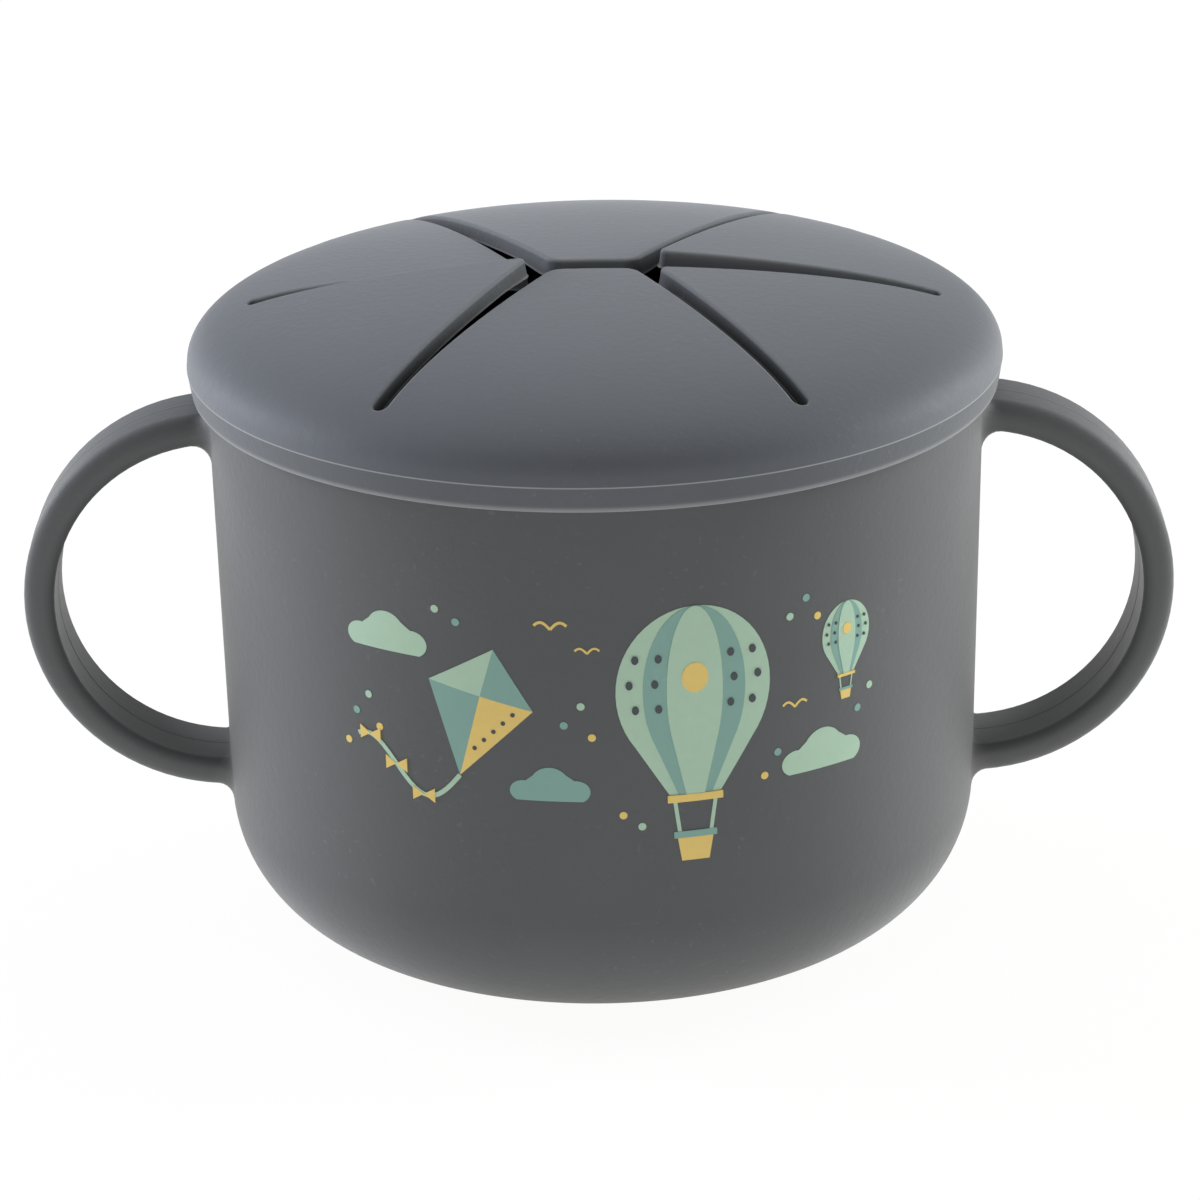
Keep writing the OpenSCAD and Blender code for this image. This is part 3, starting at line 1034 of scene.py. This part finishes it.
def divided(outline):
    """The same outline with more points, so that the film follows the round wall along its edges too."""
    made = []
    for start, end in zip(outline, outline[1:] + outline[:1]):
        count = max(1, math.ceil(math.dist(start, end) / FILM_NET))
        made += [(start[0] + (end[0] - start[0]) * k / count, start[1] + (end[1] - start[1]) * k / count)
                 for k in range(count)]
    return made


films = {}


def ink(colour, outline, layer=0):
    """Adds one shape to a colour's film; a higher layer lies on top of a lower one."""
    points, faces = films.setdefault(colour, ([], []))
    outline = np.array(divided(outline))
    plan, triangles = fill(outline, FILM_NET)
    first, count, size = len(points), len(outline), len(plan)
    points += [on_cup(u, v, FILM * (layer + 1)) for u, v in plan]
    points += [on_cup(u, v, -FILM) for u, v in plan]
    faces += [[first + k for k in t] for t in triangles]
    faces += [[first + size + k for k in t] for t in triangles]
    for k in range(count):
        m = (k + 1) % count
        faces.append([first + k, first + m, first + size + m, first + size + k])


# %% Balloons
def balloon(u, v, size):
    """Hot-air balloon with its envelope round (u, v). Every part is a share of the envelope's half width."""
    half = size / 2
    tall = half * 1.12
    foot_v = v - tall * 1.3

    def gore(share):
        """The envelope, or a narrower one that shows its middle panels."""
        shell = oval(u, v, half * share, tall, -40, 220, 40)
        return shell + [(u - half * 0.3 * share, foot_v), (u + half * 0.3 * share, foot_v)]

    ink("mint", gore(1.0))
    ink("teal", gore(0.66), 1)
    ink("mint", gore(0.36), 2)
    for side in (-0.83, -0.51, 0.51, 0.83):
        for k in (-1, 0, 1):
            dot_u, dot_v = u + side * half * (1 - 0.09 * abs(k)), v + tall * (0.3 * k + 0.1)
            ink("dark", oval(dot_u, dot_v, half * 0.045, half * 0.055, steps=12), 3)
    ink("yellow", stroke([(u - half * 0.36, foot_v), (u + half * 0.36, foot_v)], half * 0.1), 3)
    ink("yellow", oval(u, v + tall * 0.15, half * 0.17, half * 0.2), 3)
    basket_top = foot_v - half * 0.5
    for side in (-1, 1):
        rope = [(u + side * half * 0.27, foot_v), (u + side * half * 0.2, basket_top)]
        ink("mint", stroke(rope, half * 0.05))
    basket_foot = basket_top - half * 0.36
    ink("yellow", [(u - half * 0.24, basket_top), (u + half * 0.24, basket_top),
                   (u + half * 0.18, basket_foot), (u - half * 0.18, basket_foot)])
    ink("teal", stroke([(u - half * 0.28, basket_top), (u + half * 0.28, basket_top)], half * 0.09), 1)


balloon(11.5, 48.0, 19.5)
balloon(32.5, 51.5, 7.5)
print("balloons drawn")


# %% Clouds, kite, birds and dots
def cloud(u, v, size, colour):
    """Flat-bottomed cloud of three puffs, in shares of its width."""
    line = oval(u + size * 0.32, v + size * 0.12, size * 0.18, size * 0.15, -60, 95, 12)
    line += oval(u, v + size * 0.22, size * 0.24, size * 0.22, 35, 150, 12)
    line += oval(u - size * 0.33, v + size * 0.12, size * 0.17, size * 0.14, 80, 240, 12)
    ink(colour, line)


def kite(u, v, size):
    """Kite with four fields, a curved tail and bows, in shares of its height."""
    top, foot = (u + size * 0.14, v + size * 0.5), (u - size * 0.14, v - size * 0.5)
    left, right = (u - size * 0.36, v + size * 0.22), (u + size * 0.42, v + size * 0.04)
    middle = (u + size * 0.03, v + size * 0.13)
    for colour, a, b in (("mint", top, left), ("teal", right, top),
                         ("yellow", foot, right), ("teal", left, foot)):
        ink(colour, [middle, a, b])
    for k in range(5):
        share = 0.25 + k * 0.13
        dot_u = foot[0] + (right[0] - foot[0]) * share - size * 0.02
        dot_v = foot[1] + (right[1] - foot[1]) * share + size * 0.09
        ink("dark", oval(dot_u, dot_v, size * 0.017, size * 0.017, steps=12), 1)
    tail = [(foot[0] - t * size * 0.85, foot[1] - size * 0.2 * math.sin(t * 5.2))
            for t in np.linspace(0, 1, 24)]
    ink("mint", stroke(tail, size * 0.035), 1)
    for k in (8, 14, 20):
        x, y = tail[k]
        for side in (-1, 1):
            ink("yellow", [(x, y), (x + side * size * 0.09, y + size * 0.055),
                           (x + side * size * 0.09, y - size * 0.055)], 2)


def bird(u, v, size):
    """Two curved wings, each about size long."""
    for side in (-1, 1):
        wing = [(u + side * size * t, v + size * 0.45 * math.sin(t * 2.6)) for t in np.linspace(0, 1, 10)]
        ink("yellow", stroke(wing, size * 0.18))


cloud(-27.5, 51.5, 11.5, "mint")
cloud(-6.5, 34.0, 10.0, "teal")
cloud(29.0, 34.5, 12.0, "mint")
kite(-15.5, 45.0, 17.0)
for u, v, size in ((-6.0, 56.5, 2.0), (-1.6, 53.4, 1.5), (24.8, 43.5, 1.7)):
    bird(u, v, size)
DOTS = ((-30.5, 45), (-32.5, 42.5), (-29, 41), (-2.5, 46.5), (-4.6, 44.0), (-1.2, 42.4),
        (24, 55.5), (26.3, 57.5), (28, 54.8), (36.5, 43.5), (34.5, 41.0), (2.5, 32.0),
        (4.8, 30.4), (22.4, 38), (20.6, 35.2), (-20.5, 58), (-17.8, 56.6), (-34, 38.2))
for k, (u, v) in enumerate(DOTS):
    ink(("mint", "teal", "yellow")[k % 3], oval(u, v, 0.5, 0.5, steps=14))

for colour, (points, faces) in films.items():
    film = skin(f"print_{colour}", points, faces, INK[colour])
    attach(film, "cup")
    print(film.name, len(faces), "faces")

# %% [markdown]
# ## Floor and light
#
# A studio table: a pale floor that keeps a soft shadow, a large soft light overhead, one to each side,
# and white all round. The left lamp is slightly cooler than the right one. The face towards the camera
# gets the least light, so it is the darkest part, as on the real cup.

# %% Floor
FLOOR_GLOW, FLOOR_WHITE = 0.52, 0.9
FLOOR_HALF_M = 4.0


def floor_material():
    """Matt white that glows a little, and that the camera sees nearly as pure white."""
    white = bpy.data.materials.new("floor_white")
    white.use_nodes = True
    tree = white.node_tree
    shader = tree.nodes["Principled BSDF"]
    shader.inputs["Base Color"].default_value = (0.8, 0.8, 0.8, 1)
    shader.inputs["Roughness"].default_value = 0.9
    shader.inputs["Specular IOR Level"].default_value = 0.1
    shader.inputs["Emission Color"].default_value = (1, 0.97, 0.92, 1)
    shader.inputs["Emission Strength"].default_value = FLOOR_GLOW
    glow = add(tree.nodes, "ShaderNodeEmission")
    seen = add(tree.nodes, "ShaderNodeLightPath")
    blend = add(tree.nodes, "ShaderNodeMixShader")
    tree.links.new(combine(tree, "MULTIPLY", seen.outputs["Is Camera Ray"], FLOOR_WHITE), blend.inputs[0])
    tree.links.new(shader.outputs[0], blend.inputs[1])
    tree.links.new(glow.outputs[0], blend.inputs[2])
    tree.links.new(blend.outputs[0], tree.nodes["Material Output"].inputs["Surface"])
    return white


def make_floor():
    """A square plate at the height that the cup stands on."""
    mesh = bpy.data.meshes.new("floor")
    half = FLOOR_HALF_M
    corners = [(-half, -half, 0), (half, -half, 0), (half, half, 0), (-half, half, 0)]
    mesh.from_pydata(corners, [], [(0, 1, 2, 3)])
    floor = bpy.data.objects.new("floor", mesh)
    bpy.context.scene.collection.objects.link(floor)
    mesh.materials.append(floor_material())
    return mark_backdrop(floor)


make_floor()

# %% Lamps and surroundings
AROUND = 0.15
AIM = (0, 0, 0.05)


def lamp(name, place, size, power, colour=(1, 1, 1)):
    """A round area lamp that points at the middle of the cup."""
    data = bpy.data.lights.new(name, "AREA")
    data.shape, data.size, data.energy, data.color = "DISK", size, power, colour
    made = bpy.data.objects.new(name, data)
    bpy.context.scene.collection.objects.link(made)
    made.location = place
    made.rotation_euler = (Vector(AIM) - Vector(place)).to_track_quat("-Z", "Y").to_euler()


def surroundings():
    """White for the camera all round, which lights the cup only faintly."""
    world = bpy.data.worlds.new("white_studio")
    bpy.context.scene.world = world
    world.use_nodes = True
    tree = world.node_tree
    back = tree.nodes["Background"]
    back.inputs["Color"].default_value = (1, 1, 1, 1)
    path = add(tree.nodes, "ShaderNodeLightPath")
    seen = combine(tree, "MAXIMUM", path.outputs["Is Camera Ray"], path.outputs["Is Transmission Ray"])
    tree.links.new(ramp(tree, seen, 0, 1, AROUND, 1.0), back.inputs["Strength"])


lamp("overhead", (0.0, 0.2, 1.0), size=1.4, power=4.1)
lamp("left_side", (-0.95, 0.35, 0.34), size=0.66, power=7.6, colour=(0.93, 0.98, 1.09))
lamp("right_side", (0.95, 0.35, 0.34), size=0.66, power=7.8, colour=(0.97, 1.01, 1.01))
surroundings()
bpy.context.scene.view_settings.view_transform = "Standard"
